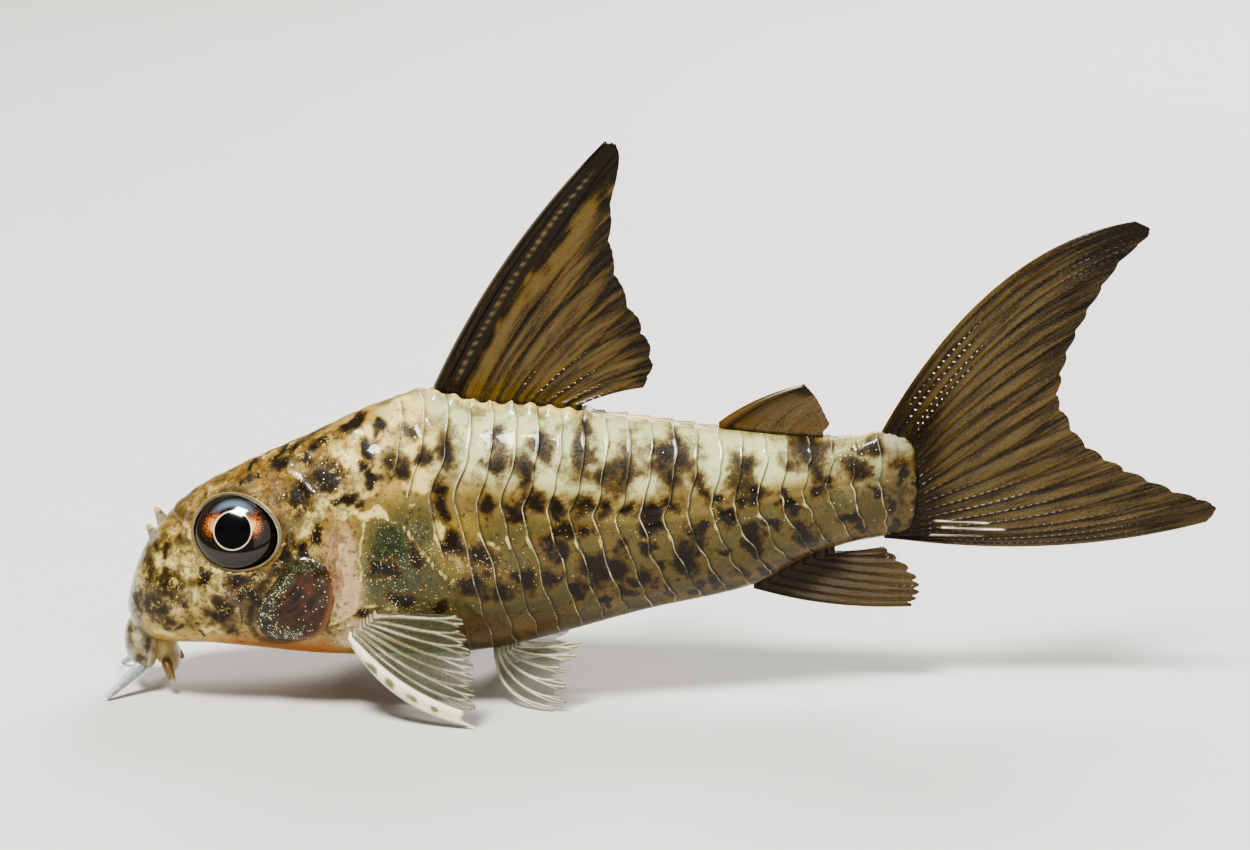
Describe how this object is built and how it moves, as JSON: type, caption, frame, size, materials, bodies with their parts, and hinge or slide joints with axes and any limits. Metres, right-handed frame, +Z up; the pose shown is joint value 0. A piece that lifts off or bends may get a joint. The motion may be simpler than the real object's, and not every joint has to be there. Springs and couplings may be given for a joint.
{
  "type": "corydoras catfish model",
  "caption": "Life-size armoured catfish at rest on a floor, with raised body scutes, rayed fins, barbels, separate eyes and gill covers.",
  "frame": {"origin": "centre of the bounding box at the floor, under the middle of the fish", "axes": "+X from the snout to the tail, -Y out of the fish's own left side, +Z up from the floor"},
  "size_m": [0.0613, 0.0156, 0.0309],
  "materials": {
    "head_skin": "wet, mottled skin over bone, satin gloss",
    "lip_skin": "wet, plain soft skin, satin",
    "gill_cover_skin": "wet dark plate with a green and gold shimmer",
    "wet_eye": "clear gloss over a dark iris",
    "barbel_skin": "wet, thin, half clear skin",
    "plated_skin": "wet scutes with dark blotches, satin gloss",
    "dorsal_fin_film": "thin dusky film on dark rays, wet",
    "clear_fin_film": "thin half clear film on rays, wet",
    "tail_fin_film": "thin dusky film on streaked rays, wet",
    "paired_fin_film": "thin clear film on pale rays, wet"
  },
  "bodies": {
    "root": {"head": "head_skin", "lower_lip": "lip_skin", "gill_cover_left": "gill_cover_skin", "gill_cover_right": "gill_cover_skin", "eye_left": "wet_eye", "eye_right": "wet_eye", "barbel_upper_left": "barbel_skin", "barbel_upper_right": "barbel_skin", "barbel_lower_left": "barbel_skin", "barbel_lower_right": "barbel_skin", "trunk_front": "plated_skin", "trunk_rear": "plated_skin", "tail_stalk": "plated_skin", "dorsal_fin": "dorsal_fin_film", "adipose_fin": "clear_fin_film", "anal_fin": "clear_fin_film", "caudal_fin_upper": "tail_fin_film", "caudal_fin_lower": "tail_fin_film", "pectoral_fin_left": "paired_fin_film", "pectoral_fin_right": "paired_fin_film", "pelvic_fin_left": "paired_fin_film", "pelvic_fin_right": "paired_fin_film"}
  },
  "joints": []
}
